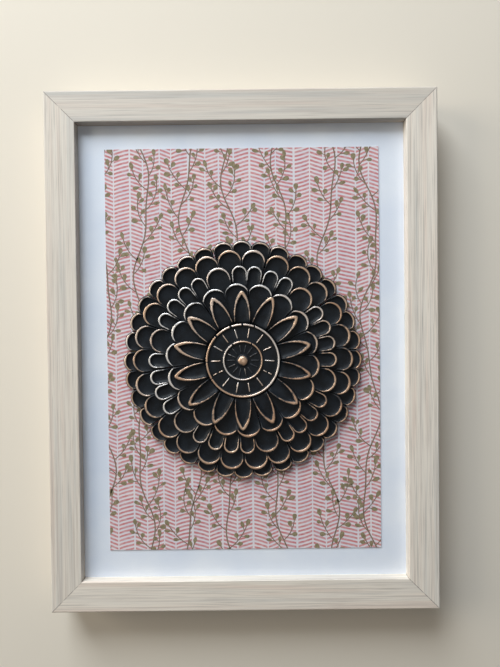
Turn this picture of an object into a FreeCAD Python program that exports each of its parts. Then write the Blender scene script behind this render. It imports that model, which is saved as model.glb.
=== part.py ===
"""Relief rosette on a patterned sheet, in a small mitred picture frame.

The frame lies on its back. +Z points out of the picture and +Y to the picture's top.
The origin is on the frame's rear face, at the centre of the frame. All sizes are in millimetres.
"""
import FreeCAD
import Part
import math
import os
from collections import namedtuple

# Picture and frame
PICTURE_WIDTH = 130.0
PICTURE_HEIGHT = 180.0
PICTURE_GAP = 0.5
LIP_OVERLAP = 2.0
LIP_THICKNESS = 4.0
RAIL_WIDTH = 12.0
FRAME_DEPTH = 16.0
FACE_FALL = 0.3
OUTER_EDGE_RADIUS = 0.6
SIGHT_EDGE_RADIUS = 0.35

# Sheets behind the lip, from the front
CARD_THICKNESS = 1.4
BOARD_THICKNESS = 3.0
SHEET_WIDTH = 106.0
SHEET_HEIGHT = 156.0
SHEET_THICKNESS = 0.3
SHEET_RIGHT = 0.2
SHEET_UP = 0.7

# V-nails at the back of the mitres
NAIL_ARM = 6.0
NAIL_HEIGHT = 7.0
NAIL_THICKNESS = 0.6
NAIL_HALF_ANGLE = 35.0
NAIL_INSET = 4.0
DRIVEN_GAP = 0.05

# Flexible tabs behind the board
TAB_WIDTH = 8.0
TAB_THICKNESS = 0.4
TAB_REACH = 9.0
TAB_GRIP = 5.0
SIDE_TAB_OFFSET = 50.0

# Hanger on the board
HANGER_LENGTH = 45.0
HANGER_WIDTH = 9.0
HANGER_THICKNESS = 0.7
HANGER_RISE = 1.5
HANGER_FOOT = 9.0
HANGER_RAMP = 2.5
HANGER_DROP = 22.0
TOOTH_PITCH = 3.0
TOOTH_DEPTH = 1.8
RIVET_RADIUS = 1.2
RIVET_HEAD_RADIUS = 2.3
RIVET_HEAD_HEIGHT = 0.8
RIVET_GAP = 0.05

# Rosette: place and centre
ROSETTE_UP = -3.2
OUTER_RING_RADIUS = 13.6
OUTER_RING_WIDTH = 0.95
INNER_RING_RADIUS = 7.2
INNER_RING_WIDTH = 0.75
RING_HEIGHT = 0.9
BEAD_RADIUS = 2.15
BEAD_HEIGHT = 1.3
BEAD_CHORDS = 4
DASH_GAP = 0.9
DASH_WIDTH = 0.5
DASH_HEIGHT = 0.45

# Rosette: the tiers of petals. Angles run clockwise from the picture's top.
BASE_THICKNESS = 2.0
TIER_STEP = 1.15
BOSS_DROP = 0.2
RIM_WIDTH = 0.85
RIM_DRAFT = 0.3
BOWL_DEPTH = 0.9
BOWL_DRAFT = 0.35
ROOT_DEPTH = 0.3
HIDDEN_REACH = 1.0
PETAL_CHORDS = 7
SMALL_CHORDS = 6
POINTED_CHORDS = 4
TIER_COUNT = 5

POINTED_COUNT = 14
POINTED_LENGTH = 12.95
POINTED_END = 8.9
POINTED_END_FULLNESS = 2.2
POINTED_TIP_BLUNTNESS = 0.6
POINTED_HALF_WIDTH = 3.3
POINTED_ROOT_HALF_WIDTH = 3.0
POINTED_TIP_RIM = 1.9

ROUND_COUNT = 18
ROUND_FIRST = -4.5
ROUND_REACH = 2.9
ROUND_NOTCH = 3.3
ROUND_BOWL_START = 3.4

LONG_GROUPS = 6
LONG_GROUP_FIRST = 44.0
SLIM_PER_GROUP = 4
WIDE_SHARE = 17.0
SLIM_REACH = 6.5
WIDE_REACH = 7.1
LONG_NOTCH = 4.9

BROAD_COUNT = 26
BROAD_FIRST = 6.92
BROAD_REACH = 6.5
BROAD_NOTCH = 4.2

SMALL_COUNT = 36
SMALL_FIRST = 0.0
SMALL_REACH = 3.6
SMALL_NOTCH = 2.4

# Places worked out from the sizes above
OPENING_WIDTH = PICTURE_WIDTH - 2 * LIP_OVERLAP
OPENING_HEIGHT = PICTURE_HEIGHT - 2 * LIP_OVERLAP
OUTER_WIDTH = OPENING_WIDTH + 2 * RAIL_WIDTH
OUTER_HEIGHT = OPENING_HEIGHT + 2 * RAIL_WIDTH
REBATE_DEPTH = LIP_OVERLAP + PICTURE_GAP
CARD_FRONT = FRAME_DEPTH - LIP_THICKNESS
CARD_BACK = CARD_FRONT - CARD_THICKNESS
BOARD_BACK = CARD_BACK - BOARD_THICKNESS
SHEET_FRONT = CARD_FRONT + SHEET_THICKNESS
BOSS_RADIUS = OUTER_RING_RADIUS + OUTER_RING_WIDTH / 2
POINTED_TIP = BOSS_RADIUS + POINTED_LENGTH
ROUND_PEAK = POINTED_TIP + ROUND_REACH
SLIM_PEAK = ROUND_PEAK + SLIM_REACH
WIDE_PEAK = ROUND_PEAK + WIDE_REACH
BROAD_PEAK = SLIM_PEAK + BROAD_REACH
SMALL_PEAK = BROAD_PEAK + SMALL_REACH
Z_AXIS = FreeCAD.Vector(0, 0, 1)
CENTRE = FreeCAD.Vector(0, 0, 0)


def point(x, y, z=0.0):
    return FreeCAD.Vector(x, y, z)


def polar(radius, degrees, z=0.0):
    """A point on the rosette, with its angle clockwise from the picture's top."""
    turn = math.radians(degrees)
    return FreeCAD.Vector(radius * math.sin(turn), radius * math.cos(turn), z)


def prism(points, height):
    """A straight-sided prism that stands on a closed outline."""
    outline = Part.makePolygon(points + points[:1])
    return Part.Face(outline).extrude(FreeCAD.Vector(0, 0, height))


def box(width, depth, height, corner):
    return Part.makeBox(width, depth, height, corner)


def placed(shape, degrees, offset):
    """A copy, turned about Z at the origin and then moved."""
    copy = shape.copy()
    copy.rotate(CENTRE, Z_AXIS, degrees)
    copy.translate(offset)
    return copy


# Frame
def rail_section():
    """The rail's section in the YZ plane, from the sight edge at y = 0 outwards."""
    slope = math.atan2(FACE_FALL, RAIL_WIDTH)
    outer_top = FRAME_DEPTH - FACE_FALL
    sight_start = point(0, 0, FRAME_DEPTH - SIGHT_EDGE_RADIUS)
    sight_end = point(0, SIGHT_EDGE_RADIUS, FRAME_DEPTH - SIGHT_EDGE_RADIUS * math.tan(slope))
    sight_bulge = SIGHT_EDGE_RADIUS * (1 - math.sqrt(0.5))
    sight_middle = point(0, sight_bulge, FRAME_DEPTH - sight_bulge)
    edge_start = point(0, RAIL_WIDTH - OUTER_EDGE_RADIUS, outer_top + OUTER_EDGE_RADIUS * math.tan(slope))
    edge_end = point(0, RAIL_WIDTH, outer_top - OUTER_EDGE_RADIUS)
    edge_bulge = OUTER_EDGE_RADIUS * (1 - math.sqrt(0.5))
    edge_middle = point(0, RAIL_WIDTH - edge_bulge, outer_top - edge_bulge)
    corners = [
        edge_end,
        point(0, RAIL_WIDTH, 0),
        point(0, REBATE_DEPTH, 0),
        point(0, REBATE_DEPTH, CARD_FRONT),
        point(0, 0, CARD_FRONT),
        sight_start,
    ]
    edges = [
        Part.Arc(sight_start, sight_middle, sight_end).toShape(),
        Part.LineSegment(sight_end, edge_start).toShape(),
        Part.Arc(edge_start, edge_middle, edge_end).toShape(),
    ]
    edges += [Part.LineSegment(a, b).toShape() for a, b in zip(corners, corners[1:])]
    return Part.Face(Part.Wire(edges))


def rail(opening):
    """One mitred rail along X, with its sight edge at y = 0."""
    half_sight = opening / 2
    half_outer = half_sight + RAIL_WIDTH
    bar = rail_section()
    bar.translate(point(-half_outer, 0))
    bar = bar.extrude(point(2 * half_outer, 0))
    plan = [
        point(-half_sight, 0),
        point(half_sight, 0),
        point(half_outer, RAIL_WIDTH),
        point(-half_outer, RAIL_WIDTH),
    ]
    return bar.common(prism(plan, FRAME_DEPTH))


def v_nail(gap):
    """A V-nail with its fold at the origin and its arms towards +X. The gap widens it into its slot."""
    spread = math.radians(NAIL_HALF_ANGLE)
    along = point(math.cos(spread), math.sin(spread))
    inward = point(math.sin(spread), -math.cos(spread))
    fold_outer = point(-gap / math.sin(spread), 0)
    fold_inner = point((NAIL_THICKNESS + gap) / math.sin(spread), 0)
    end_outer = along * (NAIL_ARM + gap) - inward * gap
    end_inner = end_outer + inward * (NAIL_THICKNESS + 2 * gap)
    upper = [end_inner, end_outer]
    lower = [point(p.x, -p.y) for p in reversed(upper)]
    return prism([fold_inner] + upper + [fold_outer] + lower, NAIL_HEIGHT + gap)


def at_corners(shape):
    """Copies of a shape whose +X runs from each outer corner of the frame towards its centre."""
    copies = []
    for side_x, side_y in [(1, 1), (-1, 1), (-1, -1), (1, -1)]:
        turn = math.degrees(math.atan2(-side_y, -side_x))
        inset = NAIL_INSET * math.sqrt(0.5)
        corner = point(side_x * (OUTER_WIDTH / 2 - inset), side_y * (OUTER_HEIGHT / 2 - inset))
        copies.append(placed(shape, turn, corner))
    return copies


def board_tab(gap):
    """A flexible tab with its root at y = 0. It points to -Y, and +Y is the part pressed into the rail."""
    half = TAB_WIDTH / 2 + gap
    round_start = TAB_WIDTH / 2 - TAB_REACH
    right_root = point(half, TAB_GRIP + gap)
    left_root = point(-half, TAB_GRIP + gap)
    right_bend = point(half, round_start)
    left_bend = point(-half, round_start)
    outline = Part.Wire([
        Part.LineSegment(left_root, right_root).toShape(),
        Part.LineSegment(right_root, right_bend).toShape(),
        Part.Arc(right_bend, point(0, round_start - half), left_bend).toShape(),
        Part.LineSegment(left_bend, left_root).toShape(),
    ])
    outline.translate(point(0, 0, BOARD_BACK - TAB_THICKNESS - gap))
    return Part.Face(outline).extrude(point(0, 0, TAB_THICKNESS + 2 * gap))


def at_rebate(shape):
    """Copies of a tab round the rebate: two on each long side, and one on each short side."""
    half_width = OPENING_WIDTH / 2 + REBATE_DEPTH
    half_height = OPENING_HEIGHT / 2 + REBATE_DEPTH
    copies = [
        placed(shape, 0, point(0, half_height)),
        placed(shape, 180, point(0, -half_height)),
    ]
    for along in (-SIDE_TAB_OFFSET, SIDE_TAB_OFFSET):
        copies.append(placed(shape, -90, point(half_width, along)))
        copies.append(placed(shape, 90, point(-half_width, along)))
    return copies


def frame_rails():
    """The four rails, with the slots for the V-nails and the tabs."""
    slots = Part.makeCompound(at_corners(v_nail(DRIVEN_GAP)) + at_rebate(board_tab(DRIVEN_GAP)))
    across = rail(OPENING_WIDTH)
    upright = rail(OPENING_HEIGHT)
    rails = {
        "rail_top": placed(across, 0, point(0, OPENING_HEIGHT / 2)),
        "rail_bottom": placed(across, 180, point(0, -OPENING_HEIGHT / 2)),
        "rail_left": placed(upright, 90, point(-OPENING_WIDTH / 2, 0)),
        "rail_right": placed(upright, -90, point(OPENING_WIDTH / 2, 0)),
    }
    return {name: shape.cut(slots) for name, shape in rails.items()}


# Sheets
def flat_sheet(width, height, thickness, back, right=0.0, up=0.0):
    return box(width, height, thickness, point(right - width / 2, up - height / 2, back))


# Hanger
def hanger_height():
    """The hanger's middle line, below the top of the board."""
    return PICTURE_HEIGHT / 2 - HANGER_DROP


def rivet_places():
    offset = HANGER_LENGTH / 2 - HANGER_FOOT / 2
    return [point(-offset, hanger_height()), point(offset, hanger_height())]


def sawtooth_hanger():
    """A strip with two feet on the board and a raised, toothed middle."""
    half = HANGER_LENGTH / 2
    foot_end = half - HANGER_FOOT
    rise_end = foot_end - HANGER_RAMP
    low = BOARD_BACK
    high = BOARD_BACK - HANGER_RISE
    right = [(rise_end, high), (foot_end, low), (half, low)]
    upper = [(-x, z) for x, z in reversed(right)] + right
    lower = [(x, z - HANGER_THICKNESS) for x, z in reversed(upper)]
    start = hanger_height() - HANGER_WIDTH / 2
    outline = [point(x, start, z) for x, z in upper + lower]
    strip = Part.Face(Part.makePolygon(outline + outline[:1])).extrude(point(0, HANGER_WIDTH))
    teeth = int(2 * rise_end / TOOTH_PITCH)
    first = -(teeth - 1) * TOOTH_PITCH / 2
    notch = prism([
        point(-TOOTH_PITCH / 2, start),
        point(TOOTH_PITCH / 2, start),
        point(0, start + TOOTH_DEPTH),
    ], BOARD_BACK)
    notches = [placed(notch, 0, point(first + i * TOOTH_PITCH, 0)) for i in range(teeth)]
    holes = [Part.makeCylinder(RIVET_RADIUS + RIVET_GAP, BOARD_BACK, place) for place in rivet_places()]
    return strip.cut(Part.makeCompound(notches + holes))


def rivets():
    """Two rivets: a head behind the hanger's foot, and a shank through the foot and the board."""
    head_front = BOARD_BACK - HANGER_THICKNESS
    head_back = head_front - RIVET_HEAD_HEIGHT
    solids = []
    for place in rivet_places():
        head = Part.makeCylinder(RIVET_HEAD_RADIUS, RIVET_HEAD_HEIGHT, place + point(0, 0, head_back))
        shank = Part.makeCylinder(RIVET_RADIUS, CARD_BACK - head_front, place + point(0, 0, head_front))
        solids.append(head.fuse(shank).removeSplitter())
    return Part.makeCompound(solids)


def back_board():
    board = flat_sheet(PICTURE_WIDTH, PICTURE_HEIGHT, BOARD_THICKNESS, BOARD_BACK)
    holes = [
        Part.makeCylinder(RIVET_RADIUS + RIVET_GAP, BOARD_THICKNESS, place + point(0, 0, BOARD_BACK))
        for place in rivet_places()
    ]
    return board.cut(Part.makeCompound(holes))


# Rosette: a petal is drawn on its own axis, which runs out from the rosette's centre
Petal = namedtuple("Petal", "angle share peak radius chords")


def arc_points(start, middle, end, chords):
    """Points on an arc. Its equal chords keep so many petals light."""
    return Part.Arc(start, middle, end).discretize(chords + 1)


def at_petal(angle, along, across):
    """A point given along and across the axis of the petal at this angle."""
    return polar(along, angle) + polar(across, angle + 90)


def shrunk(points, centre, factor):
    return [centre + (p - centre) * factor for p in points]


def frustum(lower, bottom, upper, top):
    """A solid between two outlines whose sides are parallel in pairs, so that each face is flat."""
    lower = [p + point(0, 0, bottom) for p in lower]
    upper = [p + point(0, 0, top) for p in upper]
    loops = [lower, upper]
    for i in range(len(lower)):
        loops.append([lower[i - 1], lower[i], upper[i], upper[i - 1]])
    faces = [Part.Face(Part.makePolygon(loop + loop[:1])) for loop in loops]
    return Part.Solid(Part.Shell(faces))


def round_petals(count, first, peak, notch, chords):
    """Petals whose edges are arcs that meet at notches between them."""
    share = 360 / count
    half = math.radians(share / 2)
    half_chord = (peak - notch) * math.sin(half)
    rise = peak - (peak - notch) * math.cos(half)
    radius = (half_chord ** 2 + rise ** 2) / (2 * rise)
    return [Petal(first + i * share, share, peak, radius, chords) for i in range(count)]


def long_petals():
    """One wide petal and a row of slim ones, over and over. Each has straight sides and a round end."""
    group_share = 360 / LONG_GROUPS
    slim_share = (group_share - WIDE_SHARE) / SLIM_PER_GROUP
    petals = []
    for group in range(LONG_GROUPS):
        axis = LONG_GROUP_FIRST + group * group_share
        row = [(axis, WIDE_SHARE, WIDE_PEAK)]
        for i in range(SLIM_PER_GROUP):
            row.append((axis + WIDE_SHARE / 2 + (i + 0.5) * slim_share, slim_share, SLIM_PEAK))
        for angle, share, peak in row:
            spread = math.sin(math.radians(share / 2))
            petals.append(Petal(angle, share, peak, peak * spread / (1 + spread), PETAL_CHORDS))
    return petals


def round_edge(petal, notch_radius):
    """A round petal's edge, up to the notch that it shares with the next petal."""
    start = polar(notch_radius, petal.angle - petal.share / 2)
    end = polar(notch_radius, petal.angle + petal.share / 2)
    return arc_points(start, polar(petal.peak, petal.angle), end, petal.chords)[:-1]


def round_end(petal, inset):
    middle = petal.peak - petal.radius
    half_width = petal.radius - inset
    left = at_petal(petal.angle, middle, -half_width)
    right = at_petal(petal.angle, middle, half_width)
    return arc_points(left, polar(petal.peak - inset, petal.angle), right, petal.chords)


def long_edge(petal, notch_radius):
    return [polar(notch_radius, petal.angle - petal.share / 2)] + round_end(petal, 0.0)


def bowl_outline(petal, start, inset):
    """The bowl inside a petal's rim, from a start that the tier above covers to its round end."""
    spread = math.sin(math.radians(petal.share / 2))
    land = (petal.peak - petal.radius) * spread - (petal.radius - RIM_WIDTH)
    half_start = start * spread - land - (inset - RIM_WIDTH)
    foot = [at_petal(petal.angle, start, half_start), at_petal(petal.angle, start, -half_start)]
    return round_end(petal, inset) + foot


def pointed_sides(angle, tip_radius, inset):
    """A pointed petal's outline: straight sides up to the waist, then a full curve that closes on the tip."""
    waist = POINTED_TIP - POINTED_END
    half_waist = POINTED_HALF_WIDTH - inset
    side = [(BOSS_RADIUS - HIDDEN_REACH, POINTED_ROOT_HALF_WIDTH - inset)]
    for i in range(POINTED_CHORDS):
        share = math.sin(math.pi / 2 * i / POINTED_CHORDS)
        half = half_waist * (1 - share ** POINTED_END_FULLNESS) ** POINTED_TIP_BLUNTNESS
        side.append((waist + (tip_radius - waist) * share, half))
    left = [at_petal(angle, along, -half) for along, half in side]
    right = [at_petal(angle, along, half) for along, half in reversed(side)]
    return left + [polar(tip_radius, angle)] + right


def tier_body(outline, peak, bottom, top):
    """A plate with this outline at its foot, whose side leans in towards its top."""
    return frustum(outline, bottom, shrunk(outline, CENTRE, (peak - RIM_DRAFT) / peak), top)


def petal_tier(petals, edge_of, notch_radius, bowl_start, bottom, top):
    outline = [p for petal in petals for p in edge_of(petal, notch_radius)]
    body = tier_body(outline, max(petal.peak for petal in petals), bottom, top)
    bowls = []
    for petal in petals:
        floor = bowl_outline(petal, bowl_start, RIM_WIDTH + BOWL_DRAFT)
        mouth = bowl_outline(petal, bowl_start, RIM_WIDTH)
        bowls.append(frustum(floor, top - BOWL_DEPTH, mouth, top))
    return body.cut(Part.makeCompound(bowls))


def pointed_tier(bottom, top):
    outline = []
    bowls = []
    for i in range(POINTED_COUNT):
        angle = i * 360 / POINTED_COUNT
        outline += pointed_sides(angle, POINTED_TIP, 0.0)
        mouth = pointed_sides(angle, POINTED_TIP - POINTED_TIP_RIM, RIM_WIDTH)
        waist = polar(POINTED_TIP - POINTED_END, angle)
        floor = shrunk(mouth, waist, 1 - BOWL_DRAFT / (POINTED_HALF_WIDTH - RIM_WIDTH))
        bowls.append(frustum(floor, top - BOWL_DEPTH, mouth, top))
    body = tier_body(outline, POINTED_TIP, bottom, top)
    centre = Part.makeCylinder(BOSS_RADIUS - ROOT_DEPTH, top - bottom, point(0, 0, bottom))
    return body.cut(Part.makeCompound(bowls + [centre]))


def boss(top):
    """The round centre: an outer ring, an inner ring and a bead, with short rays between the rings."""
    floor = top - RING_HEIGHT
    outer = BOSS_RADIUS
    outer_in = OUTER_RING_RADIUS - OUTER_RING_WIDTH / 2
    inner_out = INNER_RING_RADIUS + INNER_RING_WIDTH / 2
    inner_in = INNER_RING_RADIUS - INNER_RING_WIDTH / 2
    bead_top = floor + BEAD_HEIGHT
    bead_side = point(BEAD_RADIUS * math.sqrt(0.5), 0, floor + BEAD_HEIGHT * math.sqrt(0.5))
    profile = [
        point(BEAD_RADIUS, 0, floor),
        point(inner_in, 0, floor),
        point(inner_in, 0, top),
        point(inner_out, 0, top),
        point(inner_out, 0, floor),
        point(outer_in, 0, floor),
        point(outer_in, 0, top),
        point(outer - RIM_DRAFT, 0, top),
        point(outer, 0, floor),
        point(outer, 0, 0),
        point(0, 0, 0),
        point(0, 0, bead_top),
    ]
    profile += arc_points(profile[-1], bead_side, profile[0], BEAD_CHORDS)[1:]
    body = Part.Face(Part.makePolygon(profile)).revolve(CENTRE, Z_AXIS, 360)
    dash_start = inner_out + DASH_GAP
    dash_length = outer_in - DASH_GAP - dash_start
    dash_corner = point(-DASH_WIDTH / 2, dash_start, floor - ROOT_DEPTH)
    dash = box(DASH_WIDTH, dash_length, DASH_HEIGHT + ROOT_DEPTH, dash_corner)
    dashes = [placed(dash, (i + 0.5) * 360 / POINTED_COUNT, CENTRE) for i in range(POINTED_COUNT)]
    return body.fuse(dashes)


def rosette():
    """Five tiers of petals that step up to the boss, as one solid."""
    tops = [BASE_THICKNESS + i * TIER_STEP for i in range(TIER_COUNT)]
    bottoms = [0.0] + [top - BOWL_DEPTH - ROOT_DEPTH for top in tops[:-1]]
    small_notch = SMALL_PEAK - SMALL_NOTCH
    long_notch = SLIM_PEAK - LONG_NOTCH
    broad_notch = BROAD_PEAK - BROAD_NOTCH
    round_notch = ROUND_PEAK - ROUND_NOTCH
    round_bowl = ROUND_PEAK - ROUND_NOTCH - ROUND_BOWL_START
    small = round_petals(SMALL_COUNT, SMALL_FIRST, SMALL_PEAK, SMALL_NOTCH, SMALL_CHORDS)
    broad = round_petals(BROAD_COUNT, BROAD_FIRST, BROAD_PEAK, BROAD_NOTCH, PETAL_CHORDS)
    inner = round_petals(ROUND_COUNT, ROUND_FIRST, ROUND_PEAK, ROUND_NOTCH, PETAL_CHORDS)
    tiers = [
        petal_tier(small, round_edge, small_notch, broad_notch - HIDDEN_REACH, bottoms[0], tops[0]),
        petal_tier(broad, round_edge, broad_notch, long_notch - HIDDEN_REACH, bottoms[1], tops[1]),
        petal_tier(long_petals(), long_edge, long_notch, round_notch - HIDDEN_REACH, bottoms[2], tops[2]),
        petal_tier(inner, round_edge, round_notch, round_bowl, bottoms[3], tops[3]),
    ]
    bowl_radius = round_bowl + ROUND_BOWL_START / 2
    shared_bowl = Part.makeCylinder(bowl_radius, BOWL_DEPTH, point(0, 0, tops[3] - BOWL_DEPTH))
    tiers[3] = tiers[3].cut(shared_bowl)
    tiers.append(pointed_tier(bottoms[4], tops[4]))
    tiers.append(boss(tops[4] - BOSS_DROP))
    return tiers[0].fuse(tiers[1:]).removeSplitter()


def part_nodes():
    nodes = frame_rails()
    nodes["corner_nails"] = Part.makeCompound(at_corners(v_nail(0.0)))
    nodes["picture_card"] = flat_sheet(PICTURE_WIDTH, PICTURE_HEIGHT, CARD_THICKNESS, CARD_BACK)
    paper = flat_sheet(SHEET_WIDTH, SHEET_HEIGHT, SHEET_THICKNESS, CARD_FRONT, SHEET_RIGHT, SHEET_UP)
    nodes["patterned_paper"] = paper
    nodes["rosette"] = placed(rosette(), 0, point(0, ROSETTE_UP, SHEET_FRONT))
    nodes["back_board"] = back_board()
    nodes["board_tabs"] = Part.makeCompound(at_rebate(board_tab(0.0)))
    nodes["sawtooth_hanger"] = sawtooth_hanger()
    nodes["hanger_rivets"] = rivets()
    return nodes


os.makedirs("parts", exist_ok=True)
for name, shape in part_nodes().items():
    shape.exportStep("parts/" + name + ".step")
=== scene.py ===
"""Looks of the framed relief rosette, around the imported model.

Lengths are in millimetres until they reach a mesh.
"""

import math
import random
from collections import namedtuple

import bmesh
import bpy
from mathutils import Matrix, Vector


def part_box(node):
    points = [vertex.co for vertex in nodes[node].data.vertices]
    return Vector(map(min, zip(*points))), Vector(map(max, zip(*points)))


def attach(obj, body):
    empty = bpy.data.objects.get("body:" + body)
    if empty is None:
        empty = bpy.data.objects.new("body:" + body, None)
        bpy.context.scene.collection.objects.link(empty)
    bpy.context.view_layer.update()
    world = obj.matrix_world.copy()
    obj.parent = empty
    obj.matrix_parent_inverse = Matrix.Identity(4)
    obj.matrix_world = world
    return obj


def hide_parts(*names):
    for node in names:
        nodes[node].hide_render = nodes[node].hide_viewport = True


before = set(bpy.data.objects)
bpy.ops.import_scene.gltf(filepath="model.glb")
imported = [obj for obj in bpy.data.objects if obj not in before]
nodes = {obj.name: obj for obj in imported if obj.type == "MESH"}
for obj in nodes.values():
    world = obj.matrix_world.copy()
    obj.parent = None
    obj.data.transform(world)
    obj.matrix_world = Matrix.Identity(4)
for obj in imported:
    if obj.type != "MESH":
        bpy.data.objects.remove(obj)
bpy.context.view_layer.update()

MM = 0.001
BODY = "root"

# Camera, as fitted to the frame's corners: it looks straight down at the frame
PHOTO_HEIGHT_PX = 667
FOCAL_PX = 500
SENSOR_HEIGHT = 36.0
CAMERA_PLACE = (3.08, 9.91, 206.75)
CAMERA_TURN_DEGREES = (0.875, -0.076, 0.648)

# Rosette: tiers and centre, the same sizes as the solid
ROSETTE_UP = -3.2
BASE_THICKNESS = 2.0
TIER_STEP = 1.15
BOSS_DROP = 0.2
BOWL_DEPTH = 1.1
SMALL_COUNT, SMALL_FIRST, SMALL_PEAK, SMALL_NOTCH = 36, 0.0, 46.525, 44.125
BROAD_COUNT, BROAD_FIRST, BROAD_PEAK, BROAD_NOTCH = 26, 6.92, 42.925, 38.725
ROUND_COUNT, ROUND_FIRST, ROUND_PEAK, ROUND_NOTCH = 18, -4.5, 29.925, 26.625
LONG_GROUPS, LONG_GROUP_FIRST, SLIM_PER_GROUP, WIDE_SHARE = 6, 44.0, 4, 17.0
SLIM_PEAK, WIDE_PEAK = 36.425, 37.025
POINTED_COUNT, POINTED_TIP, POINTED_WAIST = 14, 27.025, 18.125
POINTED_HALF_WIDTH, POINTED_ROOT_HALF_WIDTH = 3.3, 3.0
POINTED_END_FULLNESS, POINTED_TIP_BLUNTNESS = 2.2, 0.6
POINTED_SPINE_GAP = 3.6
SMALL_ROOT, BROAD_ROOT, LONG_ROOT, ROUND_ROOT, POINTED_ROOT = 36.5, 29.5, 23.0, 13.0, 13.95
BOSS_RADIUS = 14.075
OUTER_RING_RADIUS, OUTER_RING_WIDTH = 13.6, 0.95
INNER_RING_RADIUS, INNER_RING_WIDTH = 7.2, 0.78
RING_HEIGHT = 0.9
BEAD_RADIUS = 2.15
BEAD_HEIGHT = 1.3
DASH_WIDTH, SPLIT_DASH_WIDTH, DASH_HEIGHT = 0.58, 0.55, 0.5
RAY_START, RAY_END, RAY_WIDTH, RAY_HEIGHT = 2.9, 6.2, 0.5, 0.42

# How finely each petal is drawn
ARC_STEPS = 11
SIDE_STEPS = 4
POINTED_STEPS = 9
CREST_STEPS = 6
BOWL_STEPS = 6
PETAL_WALL = 2.3
BOSS_STEPS = 360
SPLIT_DASHES = (4, 9)


def lerp(a, b, t):
    return a + (b - a) * t


def smoothstep(low, high, x):
    t = min(1.0, max(0.0, (x - low) / (high - low)))
    return t * t * (3 - 2 * t)


# Mesh helpers
def new_object(name, mesh):
    piece = bpy.data.objects.new(name, mesh)
    bpy.context.scene.collection.objects.link(piece)
    return piece


class Relief:
    """Vertices in millimetres with a paint strength and tone each, and the faces between them."""

    def __init__(self):
        self.points = []
        self.paint = []
        self.tones = []
        self.faces = []
        self.tone = 0.0

    def vertex(self, point, paint=0.0):
        self.points.append(point)
        self.paint.append(paint)
        self.tones.append(self.tone)
        return len(self.points) - 1

    def strip(self, rows, closed=False):
        """Quads between neighbouring rows of vertex numbers."""
        pairs = list(zip(rows, rows[1:]))
        if closed:
            pairs.append((rows[-1], rows[0]))
        for row, following in pairs:
            for i in range(len(row) - 1):
                corners = [row[i], row[i + 1], following[i + 1], following[i]]
                kept = [c for k, c in enumerate(corners) if c != corners[k - 1]]
                if len(kept) > 2:
                    self.faces.append(kept)

    def to_object(self, name, place):
        mesh = bpy.data.meshes.new(name)
        mesh.from_pydata([(Vector(p) + Vector(place)) * MM for p in self.points], [], self.faces)
        for label, values in (("paint", self.paint), ("tone", self.tones)):
            mesh.attributes.new(label, "FLOAT", "POINT").data.foreach_set("value", values)
        build = bmesh.new()
        build.from_mesh(mesh)
        bmesh.ops.recalc_face_normals(build, faces=build.faces)
        build.to_mesh(mesh)
        build.free()
        mesh.shade_smooth()
        return new_object(name, mesh)


# Rosette
Look = namedtuple("Look", "top wall tip_rim side_rim thin gone whole paint tone")


def polar(radius, degrees, z=0.0):
    """A point on the rosette, with its angle clockwise from the picture's top."""
    turn = math.radians(degrees)
    return Vector((radius * math.sin(turn), radius * math.cos(turn), z))


def in_petal(angle, along, across, z):
    """A point given along and across the axis of the petal at this angle."""
    point = polar(along, angle) + polar(across, angle + 90)
    return (point.x, point.y, z)


def round_side(share, peak, radius, first_turn, root):
    """One side of a round petal from root to tip, and its round end's centre.

    Each point is its distance along the petal's axis and its half width.
    """
    middle = peak - radius
    arc = []
    for i in range(ARC_STEPS + 1):
        turn = first_turn * (1 - i / ARC_STEPS)
        arc.append((middle + radius * math.cos(turn), radius * math.sin(turn)))
    half_root = root * math.tan(math.radians(share / 2))
    side = []
    for i in range(SIDE_STEPS):
        t = i / SIDE_STEPS
        side.append((lerp(root, arc[0][0], t), lerp(half_root, arc[0][1], t)))
    return side + arc, middle


def arc_petal(share, peak, notch, root):
    """The side of a petal whose round edge meets its neighbours at notches."""
    half = math.radians(share / 2)
    half_chord = notch * math.sin(half)
    rise = peak - notch * math.cos(half)
    radius = (half_chord ** 2 + rise ** 2) / (2 * rise)
    first_turn = math.atan2(half_chord, radius - rise)
    return round_side(share, peak, radius, first_turn, root)


def finger_petal(share, peak, root):
    """The side of a petal with straight sides that a round end closes."""
    spread = math.sin(math.radians(share / 2))
    return round_side(share, peak, peak * spread / (1 + spread), math.radians(90 + share / 2), root)


def pointed_petal(root, tip):
    """The side of a pointed petal: straight up to its waist, then a full curve that closes on the tip."""
    side = []
    for i in range(SIDE_STEPS):
        t = i / SIDE_STEPS
        side.append((lerp(root, POINTED_WAIST, t), lerp(POINTED_ROOT_HALF_WIDTH, POINTED_HALF_WIDTH, t)))
    for i in range(POINTED_STEPS + 1):
        share = math.sin(math.pi / 2 * i / POINTED_STEPS)
        half = POINTED_HALF_WIDTH * (1 - share ** POINTED_END_FULLNESS) ** POINTED_TIP_BLUNTNESS
        side.append((lerp(POINTED_WAIST, tip, share), half))
    return side, tip - POINTED_SPINE_GAP


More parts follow.
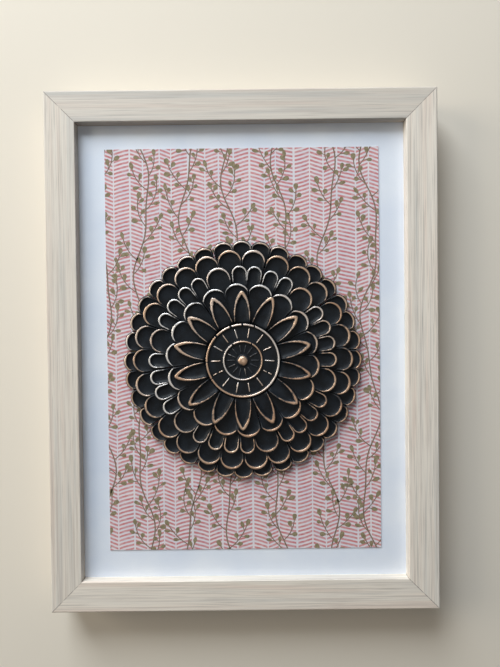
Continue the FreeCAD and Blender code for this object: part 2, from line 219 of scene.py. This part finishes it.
def add_petal(relief, angle, edge, look, rise=0.0):
    """A closed, cupped petal: underside, outer wall, rounded rim, and a dished bowl down to the spine.

    The rim thins from the tip down to look.thin, and sinks into the bowl between look.whole and look.gone.
    """
    side, spine_end = edge
    stations = [(along, -half) for along, half in side]
    stations += [(along, half) for along, half in reversed(side[:-1])]
    tip = side[-1][0]
    bottom = max(0.0, look.top - PETAL_WALL)
    top = look.top + rise
    floor = top - BOWL_DEPTH
    relief.tone = look.tone
    feet = {}
    beds = {}
    rows = []
    for along, across in stations:
        spine = min(along, spine_end)
        if spine not in feet:
            feet[spine] = relief.vertex(in_petal(angle, spine, 0.0, bottom))
            beds[spine] = relief.vertex(in_petal(angle, spine, 0.0, floor))
        reach = math.hypot(spine - along, across)
        tipness = min(1.0, max(0.0, (along - look.thin) / (tip - look.thin)))
        stands = smoothstep(look.gone, look.whole, along)
        width = lerp(look.side_rim, look.tip_rim, tipness ** 1.3)
        wall = lerp(0.1, look.wall, tipness)
        crest_rise = min(0.6, width * 0.55)
        shoulder = lerp(floor, top - crest_rise, stands)

        def inward(distance, z, paint):
            share = min(1.0, distance / reach)
            return relief.vertex(in_petal(angle, lerp(along, spine, share), across * (1 - share), z), paint)

        row = [feet[spine], relief.vertex(in_petal(angle, along, across, bottom))]
        for k in range(CREST_STEPS + 1):
            turn = math.pi * k / CREST_STEPS
            cover = look.paint * (0.1 + 0.9 * math.sin(turn)) * stands * lerp(0.8, 1.0, tipness)
            z = shoulder + crest_rise * math.sin(turn) * stands
            row.append(inward(wall + width * 0.5 * (1 - math.cos(turn)), z, cover))
        start = wall + width
        for k in range(1, BOWL_STEPS):
            t = (k / BOWL_STEPS) ** 1.3
            row.append(inward(lerp(start, reach, t), lerp(floor, shoulder, (1 - t) ** 3), 0.0))
        row.append(beds[spine])
        rows.append(row)
    relief.strip(rows)
    relief.faces.append(list(reversed(rows[0])) + rows[-1][1:-1])


def crest(radius, width, foot, height, paint, steps=8):
    """The rounded section of a ring as (radius, z, paint), from its outer side to its inner side."""
    points = []
    for k in range(steps + 1):
        turn = math.pi * k / steps
        cover = paint * (0.1 + 0.9 * math.sin(turn))
        points.append((radius + width / 2 * math.cos(turn), foot + height * math.sin(turn) ** 0.6, cover))
    return points


def ring_tone(radius, angle):
    """The outer ring is copper on its left, the inner ring on its right, and the bead all round."""
    if radius < BEAD_RADIUS + 0.1:
        return 0.1
    copper_side = -110 if radius > lerp(OUTER_RING_RADIUS, INNER_RING_RADIUS, 0.5) else 70
    return 0.5 - 0.4 * math.cos(math.radians(angle - copper_side))


def add_boss(relief, top):
    """The round centre, turned about the axis: outer ring, inner ring and bead.

    Each nick is a ring's radius, an angle and half the nick's width in degrees.
    """
    floor = top - RING_HEIGHT
    nicks = [
        (OUTER_RING_RADIUS, 0.0, 1.4), (OUTER_RING_RADIUS, -19.0, 1.2), (OUTER_RING_RADIUS, 19.6, 1.3),
        (OUTER_RING_RADIUS, -47.0, 1.3), (OUTER_RING_RADIUS, -92.0, 0.8), (OUTER_RING_RADIUS, -120.0, 0.9),
        (INNER_RING_RADIUS, -32.0, 2.4), (INNER_RING_RADIUS, 28.6, 2.2),
    ]
    profile = [(0.0, 0.0, 0.0), (BOSS_RADIUS, 0.0, 0.0)]
    profile += crest(OUTER_RING_RADIUS, OUTER_RING_WIDTH, floor, RING_HEIGHT, 1.0)
    profile.append((OUTER_RING_RADIUS - OUTER_RING_WIDTH, floor, 0.0))
    profile.append((INNER_RING_RADIUS + INNER_RING_WIDTH, floor, 0.0))
    profile += crest(INNER_RING_RADIUS, INNER_RING_WIDTH, floor, RING_HEIGHT, 1.0)
    profile.append((INNER_RING_RADIUS - INNER_RING_WIDTH, floor, 0.0))
    profile.append((BEAD_RADIUS + 0.4, floor, 0.0))
    for k in range(7):
        turn = math.radians(90 * k / 6)
        cover = 0.25 + 0.75 * math.sin(turn)
        profile.append((BEAD_RADIUS * math.cos(turn), floor + BEAD_HEIGHT * math.sin(turn), cover))
    axis = {
        0: relief.vertex((0.0, 0.0, 0.0)),
        len(profile) - 1: relief.vertex((0.0, 0.0, profile[-1][1]), 1.0),
    }
    rows = []
    for i in range(BOSS_STEPS):
        angle = 360 * i / BOSS_STEPS
        row = []
        for k, (radius, z, paint) in enumerate(profile):
            relief.tone = ring_tone(radius, angle)
            for ring, at, half in nicks:
                away = abs((angle - at + 180) % 360 - 180)
                if abs(radius - ring) < 0.6 and away < half:
                    paint = 0.0
                    z -= 0.15 if z > floor else 0.0
            row.append(axis[k] if k in axis else relief.vertex(polar(radius, angle, z), paint))
        rows.append(row)
    relief.strip(rows, closed=True)


def add_bar(relief, angle, start, end, width, foot, height, paint, lean=0.0):
    """A low rounded bar along a radius, which closes to a point at each end."""
    swells = [(0.0, 0.02), (0.05, 0.7), (0.15, 1.0), (0.5, 0.9), (0.85, 1.0), (0.95, 0.7), (1.0, 0.02)]
    rows = []
    for t, swell in swells:
        row = []
        for k in range(7):
            turn = math.pi * k / 6
            across = lean * t - width / 2 * swell * math.cos(turn)
            z = foot + height * swell * math.sin(turn)
            place = in_petal(angle, lerp(start, end, t), across, z)
            row.append(relief.vertex(place, paint * math.sin(turn) ** 0.5))
        row.append(relief.vertex(in_petal(angle, lerp(start, end, t), lean * t, foot - 0.3)))
        rows.append(row + row[:1])
    relief.strip(rows)
    relief.faces.append(rows[0][:-1])
    relief.faces.append(list(reversed(rows[-1][:-1])))


def painted_highlight_share(angle):
    """How silvery the rims are at this angle: a painted highlight, most at the upper left towards the lamps
    and least at the lower right.
    """
    return 0.5 + 0.5 * math.cos(math.radians(angle + 35))


def rosette_relief():
    tops = [BASE_THICKNESS + i * TIER_STEP for i in range(5)]
    relief = Relief()
    rng = random.Random(11)

    def petal(angle, make, look):
        angle += rng.uniform(-0.4, 0.4)
        stretch = rng.uniform(-0.2, 0.05)
        # Painted highlight: each petal's rims are made more silvery towards the upper left, where the lamps
        # light them.
        tone = min(1.0, max(0.0, look.tone * painted_highlight_share(angle) * 2 + rng.uniform(-0.15, 0.15)))
        rims = rng.uniform(0.9, 1.1)
        varied = look._replace(tone=tone, tip_rim=look.tip_rim * rims, side_rim=look.side_rim * rims,
                               paint=look.paint * rng.uniform(0.85, 1.0))
        add_petal(relief, angle, make(stretch), varied, rng.uniform(-0.1, 0.0))

    small = Look(tops[0], 0.50, 1.0, 0.50, 42.0, 40.5, 43.0, 1.0, 0.3)
    small_share = 360 / SMALL_COUNT
    for i in range(SMALL_COUNT):
        petal(SMALL_FIRST + i * small_share,
              lambda s: arc_petal(small_share, SMALL_PEAK + min(0.0, s), SMALL_NOTCH, SMALL_ROOT), small)
    share = 360 / BROAD_COUNT
    broad = Look(tops[1], 0.30, 1.2, 0.45, 36.5, 35.0, 38.0, 1.0, 0.25)
    for i in range(BROAD_COUNT):
        petal(BROAD_FIRST + i * share,
              lambda s: arc_petal(share, BROAD_PEAK + s, BROAD_NOTCH, BROAD_ROOT), broad)
    wide = Look(tops[2], 0.30, 1.15, 0.45, 29.5, 28.0, 31.0, 1.0, 0.35)
    slim = Look(tops[2], 0.26, 0.95, 0.36, 28.5, 27.5, 30.5, 1.0, 0.8)
    group_share = 360 / LONG_GROUPS
    slim_share = (group_share - WIDE_SHARE) / SLIM_PER_GROUP
    for group in range(LONG_GROUPS):
        axis = LONG_GROUP_FIRST + group * group_share
        petal(axis, lambda s: finger_petal(WIDE_SHARE, WIDE_PEAK + s, LONG_ROOT), wide)
        for i in range(SLIM_PER_GROUP):
            angle = axis + WIDE_SHARE / 2 + (i + 0.5) * slim_share
            petal(angle, lambda s: finger_petal(slim_share, SLIM_PEAK + s, LONG_ROOT), slim)
    round_look = Look(tops[3], 0.30, 1.2, 0.40, 25.0, 24.2, 26.8, 1.0, 0.6)
    round_share = 360 / ROUND_COUNT
    for i in range(ROUND_COUNT):
        petal(ROUND_FIRST + i * round_share,
              lambda s: arc_petal(round_share, ROUND_PEAK + s, ROUND_NOTCH, ROUND_ROOT), round_look)
    pointed = Look(tops[4], 0.34, 1.9, 0.36, 15.0, 13.95, 15.2, 1.0, 0.2)
    for i in range(POINTED_COUNT):
        petal(i * 360 / POINTED_COUNT, lambda s: pointed_petal(POINTED_ROOT, POINTED_TIP + s), pointed)

    boss_top = tops[4] - BOSS_DROP
    floor = boss_top - RING_HEIGHT
    foot = floor - 0.1
    add_boss(relief, boss_top)
    for i in range(POINTED_COUNT):
        angle = (i + 0.5) * 360 / POINTED_COUNT
        relief.tone = rng.uniform(0.5, 0.95)
        lean = rng.uniform(-0.3, 0.3)
        first, last = rng.uniform(8.1, 8.6), rng.uniform(12.1, 12.7)
        if i in SPLIT_DASHES:
            width = SPLIT_DASH_WIDTH
            add_bar(relief, angle, first, lerp(first, last, 0.45), width, foot, DASH_HEIGHT, 1.0, lean)
            add_bar(relief, angle, lerp(first, last, 0.58), last, width, foot, DASH_HEIGHT, 0.9, lean)
        else:
            add_bar(relief, angle, first, last, DASH_WIDTH, foot, DASH_HEIGHT, 1.0, lean)
        add_bar(relief, angle + rng.uniform(-3, 3), RAY_START, RAY_END, RAY_WIDTH, floor - 0.08,
                RAY_HEIGHT, rng.uniform(0.55, 0.72), lean / 2)
    return relief.to_object("rosette_relief", (0.0, ROSETTE_UP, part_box("rosette")[0][2] / MM))


# Vines printed on the sheet
VINE_LIFT = 0.010
VINE_LIFT_STEP = 0.0012
VINE_LIFT_COUNT = 17
VINE_SINK = 0.1
HIDDEN_RADIUS = 43.0
STEM_WIDTH = 0.52
SPRIG_WIDTH = 0.38
VINE_PITCH = 17.6
SPRIG_PITCH = 5.8


class Print:
    """Thin, flat pieces on the sheet, each a closed prism round an outline."""

    def __init__(self):
        self.low = Vector(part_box("patterned_paper")[0]) / MM
        self.high = Vector(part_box("patterned_paper")[1]) / MM
        self.relief = Relief()
        self.count = 0

    def clipped(self, points):
        """The part of a convex outline that lies on the sheet."""
        edges = ((0, self.low.x, 1), (0, self.high.x, -1), (1, self.low.y, 1), (1, self.high.y, -1))
        for axis, bound, sign in edges:
            kept = []
            for a, b in zip(points, points[1:] + points[:1]):
                inside_a = (a[axis] - bound) * sign
                inside_b = (b[axis] - bound) * sign
                if inside_a > 0:
                    kept.append(a)
                if inside_a * inside_b < 0:
                    kept.append(a.lerp(b, inside_a / (inside_a - inside_b)))
            points = kept
        return points

    def outline(self, points):
        points = self.clipped(points)
        hidden = all(math.hypot(p.x, p.y - ROSETTE_UP) < HIDDEN_RADIUS for p in points)
        if len(points) < 3 or hidden:
            return
        z = self.high.z + VINE_LIFT + VINE_LIFT_STEP * (self.count % VINE_LIFT_COUNT)
        self.count += 1
        top = [self.relief.vertex((p.x, p.y, z)) for p in points]
        foot = [self.relief.vertex((p.x, p.y, self.high.z - VINE_SINK)) for p in points]
        self.relief.faces += [top, list(reversed(foot))]
        self.relief.strip([[a, b] for a, b in zip(top, foot)], closed=True)

    def ribbon(self, path, width):
        """A strip of even width along a path."""
        for a, b in zip(path, path[1:]):
            side = (b - a).normalized() * width / 2
            side = Vector((-side.y, side.x))
            reach = (b - a) * 0.12
            self.outline([a - reach + side, a - reach - side, b + reach - side, b + reach + side])

    def leaf(self, foot, heading, length, width, bluntness):
        """A leaf that starts at foot. Heading is in degrees clockwise from the picture's top."""
        self.relief.tone = 1.0
        turn = math.radians(heading)
        along = Vector((math.sin(turn), math.cos(turn)))
        across = Vector((along.y, -along.x))
        sides = [(0.0, 0.12), (0.22, 0.6), (0.5, 1.0), (0.8, bluntness), (0.97, bluntness * 0.6)]
        right = [foot + along * length * t + across * width / 2 * swell for t, swell in sides]
        left = [foot + along * length * t - across * width / 2 * swell for t, swell in reversed(sides)]
        self.outline(right + [foot + along * length] + left)
        self.relief.tone = 0.0


def vine_point(start, heading, bend, distance):
    """A point on an arc that starts at this heading and turns by bend degrees a millimetre."""
    steps = 6
    place = start.copy()
    for i in range(steps):
        turn = math.radians(heading + bend * distance * (i + 0.5) / steps)
        place += Vector((math.sin(turn), math.cos(turn))) * distance / steps
    return place


def sprig(sheet, rng, start, heading, bend, length, side):
    """A curved twig with leaves to its left and right in turn, and one at its end."""
    knots = [vine_point(start, heading, bend, length * i / 8) for i in range(9)]
    sheet.ribbon(knots, SPRIG_WIDTH)
    at = rng.uniform(2.0, 3.2)
    flip = side
    while at < length - 1.0:
        foot = vine_point(start, heading, bend, at)
        outward = heading + bend * at + flip * rng.uniform(30, 60)
        stalk = vine_point(foot, outward, 0.0, rng.uniform(0.7, 1.3))
        sheet.ribbon([foot, stalk], SPRIG_WIDTH * 0.8)
        sheet.leaf(stalk, outward, rng.uniform(1.9, 2.9), rng.uniform(1.35, 1.95), rng.uniform(0.65, 1.0))
        at += rng.uniform(1.9, 2.9)
        flip = -flip
    end = vine_point(start, heading, bend, length)
    last = heading + bend * length
    sheet.leaf(end, last, rng.uniform(2.5, 3.3), rng.uniform(1.5, 2.0), rng.uniform(0.65, 1.0))


def paper_vines():
    """Stems that wander up the sheet, with leafy sprigs to the left and right in turn."""
    rng = random.Random(23)
    sheet = Print()
    width = sheet.high.x - sheet.low.x
    columns = math.ceil(width / VINE_PITCH) + 1
    for column in range(columns):
        x = sheet.low.x + (column - 0.15) * VINE_PITCH + rng.uniform(-1.5, 1.5)
        phase = rng.uniform(0, 360)
        swing = rng.uniform(2.0, 3.4)

        def stem(y):
            wave = swing * math.sin(math.radians(phase + y * 5.4))
            ripple = 0.9 * math.sin(math.radians(phase * 2 + y * 13))
            return Vector((x + (wave + ripple), y))

        steps = 100
        path = [stem(lerp(sheet.low.y - 1, sheet.high.y + 1, i / steps)) for i in range(steps + 1)]
        sheet.ribbon(path, STEM_WIDTH)
        y = sheet.low.y - rng.uniform(0, 2 * SPRIG_PITCH)
        side = rng.choice((-1, 1))
        while y < sheet.high.y:
            heading = side * rng.uniform(35, 60)
            sprig(sheet, rng, stem(y), heading, -side * rng.uniform(2.0, 5.5), rng.uniform(7.5, 12.5), side)
            y += SPRIG_PITCH * rng.uniform(0.7, 1.3)
            side = -side
    vines = sheet.relief.to_object("paper_vines", (0.0, 0.0, 0.0))
    vines.data.shade_flat()
    return vines


# Materials
def srgb(red, green, blue):
    """A linear colour from a display colour of 0 to 255."""
    linear = []
    for value in (red, green, blue):
        share = value / 255
        linear.append(share / 12.92 if share <= 0.04045 else ((share + 0.055) / 1.055) ** 2.4)
    return (*linear, 1.0)


class Finish:
    """A procedural material, built from short calls. Coordinates are the piece's own, in millimetres."""

    def __init__(self, name):
        self.material = bpy.data.materials.new(name)
        self.material.use_nodes = True
        self.tree = self.material.node_tree
        self.shader = self.tree.nodes["Principled BSDF"]
        coordinates = self.tree.nodes.new("ShaderNodeTexCoord")
        self.place = self.vector("MULTIPLY", coordinates.outputs["Object"], (1 / MM, 1 / MM, 1 / MM))

    def feed(self, socket, value):
        if isinstance(value, bpy.types.NodeSocket):
            self.tree.links.new(value, socket)
        else:
            socket.default_value = value

    def vector(self, operation, a, b):
        node = self.tree.nodes.new("ShaderNodeVectorMath")
        node.operation = operation
        self.feed(node.inputs[0], a)
        self.feed(node.inputs[1], b)
        return node.outputs[0]

    def math(self, operation, a, b=0.0, c=0.0):
        node = self.tree.nodes.new("ShaderNodeMath")
        node.operation = operation
        for socket, value in zip(node.inputs, (a, b, c)):
            self.feed(socket, value)
        return node.outputs[0]

    def axis(self, name, place=None):
        node = self.tree.nodes.new("ShaderNodeSeparateXYZ")
        self.feed(node.inputs[0], place or self.place)
        return node.outputs[name]

    def noise(self, scale, detail=2.0, roughness=0.5, place=None):
        """Noise whose features are this many to a millimetre along each axis."""
        node = self.tree.nodes.new("ShaderNodeTexNoise")
        self.feed(node.inputs["Vector"], self.vector("MULTIPLY", place or self.place, scale))
        node.inputs["Scale"].default_value = 1.0
        node.inputs["Detail"].default_value = detail
        node.inputs["Roughness"].default_value = roughness
        return node.outputs["Fac"]

    def ramp(self, value, stops):
        node = self.tree.nodes.new("ShaderNodeValToRGB")
        self.feed(node.inputs["Fac"], value)
        elements = node.color_ramp.elements
        while len(elements) < len(stops):
            elements.new(0.5)
        for element, (position, colour) in zip(elements, stops):
            element.position = position
            element.color = colour
        return node.outputs["Color"]

    def step(self, value, low, high):
        """0 below low, 1 above high, and smooth between."""
        node = self.tree.nodes.new("ShaderNodeMapRange")
        node.interpolation_type = "SMOOTHSTEP"
        self.feed(node.inputs["Value"], value)
        node.inputs["From Min"].default_value = low
        node.inputs["From Max"].default_value = high
        return node.outputs["Result"]

    def mix(self, factor, a, b):
        node = self.tree.nodes.new("ShaderNodeMix")
        node.data_type = "RGBA"
        self.feed(node.inputs["Factor"], factor)
        self.feed(node.inputs[6], a)
        self.feed(node.inputs[7], b)
        return node.outputs[2]

    def attribute(self, name):
        node = self.tree.nodes.new("ShaderNodeAttribute")
        node.attribute_name = name
        return node.outputs["Fac"]

    def bump(self, height, distance, strength=1.0):
        node = self.tree.nodes.new("ShaderNodeBump")
        node.inputs["Strength"].default_value = strength
        node.inputs["Distance"].default_value = distance * MM
        self.feed(node.inputs["Height"], height)
        self.set(Normal=node.outputs["Normal"])

    def set(self, **sockets):
        for name, value in sockets.items():
            self.feed(self.shader.inputs[name.replace("_", " ")], value)
        return self

    def put_on(self, piece):
        piece.data.materials.clear()
        piece.data.materials.append(self.material)


SIGHT_HALF_WIDTH = 63.0
SIGHT_HALF_HEIGHT = 88.0


def rail_finish(name, along, tint):
    """Pale ash-effect foil whose streaks run along the rail: along is 0 for X and 1 for Y.

    Each rail has its own tint, which is painted light and shade: it darkens the top rail and brightens the
    left, bottom and right rails against how the lamps light them.
    """
    finish = Finish(name)

    def stretched(run, cross):
        scale = [cross, cross, cross]
        scale[along] = run
        return tuple(scale)

    broad = finish.noise(stretched(0.012, 0.35), 2.0)
    streak = finish.noise(stretched(0.02, 2.2), 3.0, 0.6)
    line = finish.noise(stretched(0.05, 6.0), 2.0, 0.6)
    # The tint scales the foil colour: painted light and shade that differ from rail to rail.
    base = finish.ramp(broad, [
        (0.32, srgb(196 * tint, 190 * tint, 180 * tint)),
        (0.46, srgb(212 * tint, 203 * tint, 190 * tint)),
        (0.56, srgb(214 * tint, 204 * tint, 190 * tint)),
        (0.70, srgb(212 * tint, 197 * tint, 182 * tint)),
    ])
    streaks = finish.step(streak, 0.45, 0.70)
    base = finish.mix(finish.math("MULTIPLY", streaks, 0.65), base, srgb(186, 172, 160))
    lines = finish.step(line, 0.55, 0.70)
    base = finish.mix(finish.math("MULTIPLY", lines, 0.60), base, srgb(160, 150, 140))
    from_sight_x = finish.math("SUBTRACT", finish.math("ABSOLUTE", finish.axis("X")), SIGHT_HALF_WIDTH)
    from_sight_y = finish.math("SUBTRACT", finish.math("ABSOLUTE", finish.axis("Y")), SIGHT_HALF_HEIGHT)
    off_mitre = finish.math("ABSOLUTE", finish.math("SUBTRACT", from_sight_x, from_sight_y))
    seam = finish.math("SUBTRACT", 1.0, finish.step(off_mitre, 0.05, 0.26))
    seam = finish.math("MULTIPLY", seam, finish.step(finish.noise((0.25, 0.25, 0.25), 2.0), 0.35, 0.55))
    base = finish.mix(finish.math("MULTIPLY", seam, 0.75), base, srgb(92, 80, 74))
    finish.set(Base_Color=base, Roughness=0.5, Specular_IOR_Level=0.3)
    finish.bump(finish.math("MULTIPLY", lines, -1.0), 0.02, 0.5)
    return finish


def card_finish():
    finish = Finish("card_white")
    cloud = finish.noise((0.05, 0.05, 0.05), 3.0)
    grain = finish.noise((3.0, 3.0, 3.0), 2.0)
    base = finish.ramp(cloud, [(0.35, srgb(214, 220, 230)), (0.65, srgb(224, 228, 234))])
    speck = finish.math("MULTIPLY", finish.step(grain, 0.45, 0.75), 0.12)
    base = finish.mix(speck, base, srgb(188, 192, 202))
    finish.set(Base_Color=base, Roughness=0.45, Specular_IOR_Level=0.4)
    finish.bump(grain, 0.02, 0.3)
    return finish


STRIPE_COLUMN = 5.8
STRIPE_SLOPE = 0.31
STRIPE_PITCH = 1.52
STRIPE_SHARE = 0.52
COLUMN_LINE = 0.05


def paper_finish():
    """Columns of slanting stripes that mirror each other, with a thin pale line between columns."""
    finish = Finish("herringbone_print")
    across = finish.axis("X")
    up = finish.axis("Y")
    wobble = finish.noise((0.10, 0.0, 0.0), 0.0)
    column = finish.math("ADD", finish.math("DIVIDE", across, STRIPE_COLUMN), wobble)
    mirrored = finish.math("PINGPONG", column, 1.0)
    ragged = finish.noise((1.1, 1.1, 0.0), 2.0)
    lift = finish.math("MULTIPLY", mirrored, STRIPE_COLUMN * STRIPE_SLOPE)
    height = finish.math("DIVIDE", finish.math("SUBTRACT", up, lift), STRIPE_PITCH)
    height = finish.math("ADD", height, finish.math("MULTIPLY", ragged, 0.12))
    share = finish.math("FRACT", height)
    swing = finish.math("ABSOLUTE", finish.math("SUBTRACT", share, 0.5))
    off_stripe = finish.step(swing, STRIPE_SHARE / 2 - 0.05, STRIPE_SHARE / 2 + 0.05)
    stripe = finish.math("SUBTRACT", 1.0, off_stripe)
    edge = finish.math("ABSOLUTE", finish.math("SUBTRACT", finish.math("FRACT", column), 0.5))
    on_line = finish.step(edge, 0.5 - COLUMN_LINE - 0.012, 0.5 - COLUMN_LINE + 0.012)
    inside = finish.math("SUBTRACT", 1.0, on_line)
    band = finish.math("MULTIPLY", stripe, inside)
    wear = finish.noise((0.5, 1.4, 0.0), 3.0)
    strength = finish.math("ADD", finish.math("MULTIPLY", finish.step(wear, 0.3, 0.65), 0.35), 0.6)
    tint = finish.noise((0.03, 0.08, 0.0), 2.0)
    ink = finish.ramp(tint, [(0.35, srgb(198, 118, 116)), (0.65, srgb(190, 108, 112))])
    cloud = finish.noise((0.2, 0.2, 0.2), 2.0)
    ground = finish.ramp(cloud, [(0.3, srgb(208, 204, 210)), (0.7, srgb(220, 212, 212))])
    base = finish.mix(finish.math("MULTIPLY", band, strength), ground, ink)
    finish.set(Base_Color=base, Roughness=0.75, Specular_IOR_Level=0.2)
    return finish


def vine_finish():
    finish = Finish("vine_print")
    patch = finish.noise((0.9, 0.9, 0.0), 2.0)
    stem = finish.ramp(patch, [(0.35, srgb(116, 98, 82)), (0.65, srgb(136, 118, 100))])
    leaf = finish.ramp(patch, [(0.35, srgb(122, 110, 84)), (0.65, srgb(146, 134, 106))])
    base = finish.mix(finish.attribute("tone"), stem, leaf)
    finish.set(Base_Color=base, Roughness=0.75, Specular_IOR_Level=0.2)
    return finish


def rosette_finish():
    """Charcoal resin with metallic paint dry-brushed on its rims, copper to silvery by the tone attribute; on
    the petals the silvery tone is partly a painted highlight towards the upper left.
    """
    finish = Finish("painted_resin")
    speckle = finish.noise((3.2, 3.2, 3.2), 2.0)
    cloud = finish.noise((0.25, 0.25, 0.25), 2.0)
    charcoal = finish.ramp(cloud, [(0.35, (0.0035, 0.0045, 0.006, 1)), (0.7, (0.008, 0.011, 0.015, 1))])
    charcoal = finish.mix(finish.step(speckle, 0.60, 0.75), charcoal, (0.020, 0.026, 0.034, 1))
    brush = finish.noise((0.55, 0.55, 0.55), 4.0, 0.65)
    patchy = finish.math("MULTIPLY", finish.math("SUBTRACT", brush, 0.5), 0.7)
    cover = finish.math("ADD", finish.attribute("paint"), patchy)
    painted = finish.step(cover, 0.60, 0.86)
    charcoal = finish.mix(finish.step(cover, 0.12, 0.50), charcoal, (0.034, 0.036, 0.040, 1))
    shift = finish.noise((0.12, 0.12, 0.12), 1.0)
    drift = finish.math("MULTIPLY", finish.math("SUBTRACT", shift, 0.5), 0.8)
    # On the petals the tone includes a painted highlight, silvery towards the upper left.
    tone = finish.math("ADD", finish.attribute("tone"), drift)
    metal = finish.ramp(tone, [
        (0.0, srgb(182, 148, 122)),
        (0.35, srgb(196, 168, 144)),
        (0.65, srgb(208, 192, 180)),
        (1.0, srgb(218, 214, 210)),
    ])
    finish.set(
        Base_Color=finish.mix(painted, charcoal, metal),
        Metallic=finish.math("MULTIPLY", painted, 0.82),
        Roughness=finish.math("ADD", finish.math("MULTIPLY", painted, -0.12), 0.48),
        Specular_IOR_Level=0.16,
    )
    finish.bump(finish.noise((4.5, 4.5, 4.5), 2.0), 0.05, 0.5)
    return finish


def board_finish():
    finish = Finish("raw_fibreboard")
    fibre = finish.noise((1.2, 1.2, 1.2), 4.0, 0.65)
    base = finish.ramp(fibre, [(0.35, srgb(134, 104, 76)), (0.7, srgb(166, 134, 100))])
    finish.set(Base_Color=base, Roughness=0.85, Specular_IOR_Level=0.15)
    finish.bump(fibre, 0.05, 0.4)
    return finish


def steel_finish(name, colour, roughness):
    finish = Finish(name)
    smear = finish.noise((0.4, 3.0, 0.4), 3.0)
    base = finish.ramp(smear, [(0.3, tuple(c * 0.82 for c in colour[:3]) + (1.0,)), (0.7, colour)])
    finish.set(Base_Color=base, Metallic=1.0, Roughness=roughness)
    return finish


def bevel(piece, width):
    """Softens the piece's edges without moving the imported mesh's own vertices."""
    modifier = piece.modifiers.new("soft_edges", "BEVEL")
    modifier.width = width * MM
    modifier.segments = 2
    modifier.limit_method = "ANGLE"
    modifier.angle_limit = math.radians(35)


# Each rail's last number is its tint: painted shade on the top rail, painted light on the left, bottom and
# right rails.
RAILS = (("rail_top", 0, 0.97), ("rail_bottom", 0, 1.08), ("rail_left", 1, 1.02), ("rail_right", 1, 1.09))
for name, along, tint in RAILS:
    rail_finish(name + "_ash", along, tint).put_on(nodes[name])
    bevel(nodes[name], 0.12)
card_finish().put_on(nodes["picture_card"])
paper_finish().put_on(nodes["patterned_paper"])
board_finish().put_on(nodes["back_board"])
steel_finish("nail_bright", srgb(190, 192, 196), 0.35).put_on(nodes["corner_nails"])
steel_finish("tab_dull", srgb(168, 168, 172), 0.45).put_on(nodes["board_tabs"])
hanger_metal = steel_finish("hanger_zinc", srgb(200, 196, 182), 0.35)
for name in ("sawtooth_hanger", "hanger_rivets"):
    hanger_metal.put_on(nodes[name])
    bevel(nodes[name], 0.1)

relief = rosette_relief()
rosette_finish().put_on(relief)
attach(relief, BODY)
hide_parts("rosette")

vines = paper_vines()
vine_finish().put_on(vines)
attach(vines, BODY)

# Floor, light and camera
floor_mesh = bpy.data.meshes.new("floor")
FLOOR_HALF = 1500 * MM
floor_corners = [(FLOOR_HALF * x, FLOOR_HALF * y, 0.0) for x, y in ((-1, -1), (1, -1), (1, 1), (-1, 1))]
floor_mesh.from_pydata(floor_corners, [], [(0, 1, 2, 3)])
floor = new_object("floor", floor_mesh)
floor_finish = Finish("pale_floor")
floor_finish.set(Base_Color=srgb(224, 214, 198), Roughness=0.8, Specular_IOR_Level=0.1)
floor_finish.put_on(floor)


def area_light(name, place, size, power, colour):
    """A square lamp at this place in millimetres, which faces the frame's centre."""
    lamp = bpy.data.lights.new(name, "AREA")
    lamp.energy = power
    lamp.size = size * MM
    lamp.color = colour
    holder = bpy.data.objects.new(name, lamp)
    bpy.context.scene.collection.objects.link(holder)
    holder.location = Vector(place) * MM
    holder.rotation_euler = (-holder.location).to_track_quat("-Z", "Y").to_euler()


area_light("key", (-300, 800, 480), 560, 13.2, (0.84, 0.92, 1.0))
area_light("side", (-900, 250, 450), 500, 5.0, (1.0, 0.93, 0.80))
area_light("fill", (150, -100, 1100), 700, 1.3, (1.0, 0.98, 0.94))

# The room lights the object faintly, and is pale where the camera or a glossy surface sees it
AMBIENT_STRENGTH = 0.06
BACKDROP_STRENGTH = 0.36
world = bpy.data.worlds.new("room")
bpy.context.scene.world = world
world.use_nodes = True
sky = world.node_tree
ambient = sky.nodes["Background"]
ambient.inputs["Color"].default_value = (0.85, 0.90, 1.0, 1.0)
ambient.inputs["Strength"].default_value = AMBIENT_STRENGTH
seen = sky.nodes.new("ShaderNodeBackground")
seen.inputs["Color"].default_value = (1.0, 0.97, 0.92, 1.0)
seen.inputs["Strength"].default_value = BACKDROP_STRENGTH
rays = sky.nodes.new("ShaderNodeLightPath")
shown = rays.outputs["Is Camera Ray"]
for kind in ("Is Glossy Ray", "Is Transmission Ray"):
    either = sky.nodes.new("ShaderNodeMath")
    either.operation = "MAXIMUM"
    sky.links.new(shown, either.inputs[0])
    sky.links.new(rays.outputs[kind], either.inputs[1])
    shown = either.outputs[0]
blend = sky.nodes.new("ShaderNodeMixShader")
sky.links.new(shown, blend.inputs["Fac"])
sky.links.new(ambient.outputs[0], blend.inputs[1])
sky.links.new(seen.outputs[0], blend.inputs[2])
sky.links.new(blend.outputs[0], sky.nodes["World Output"].inputs["Surface"])

camera_data = bpy.data.cameras.new("camera")
camera_data.sensor_fit = "VERTICAL"
camera_data.sensor_height = SENSOR_HEIGHT
camera_data.lens = SENSOR_HEIGHT * FOCAL_PX / PHOTO_HEIGHT_PX
camera_data.clip_start = 0.01
camera = bpy.data.objects.new("camera", camera_data)
bpy.context.scene.collection.objects.link(camera)
turn = Vector(math.radians(angle) for angle in CAMERA_TURN_DEGREES)
camera_from_world = Matrix.Rotation(turn.length, 4, turn.normalized())
camera.matrix_world = Matrix.Translation(Vector(CAMERA_PLACE) * MM) @ camera_from_world.transposed()
bpy.context.scene.camera = camera
bpy.context.scene.view_settings.view_transform = "Standard"
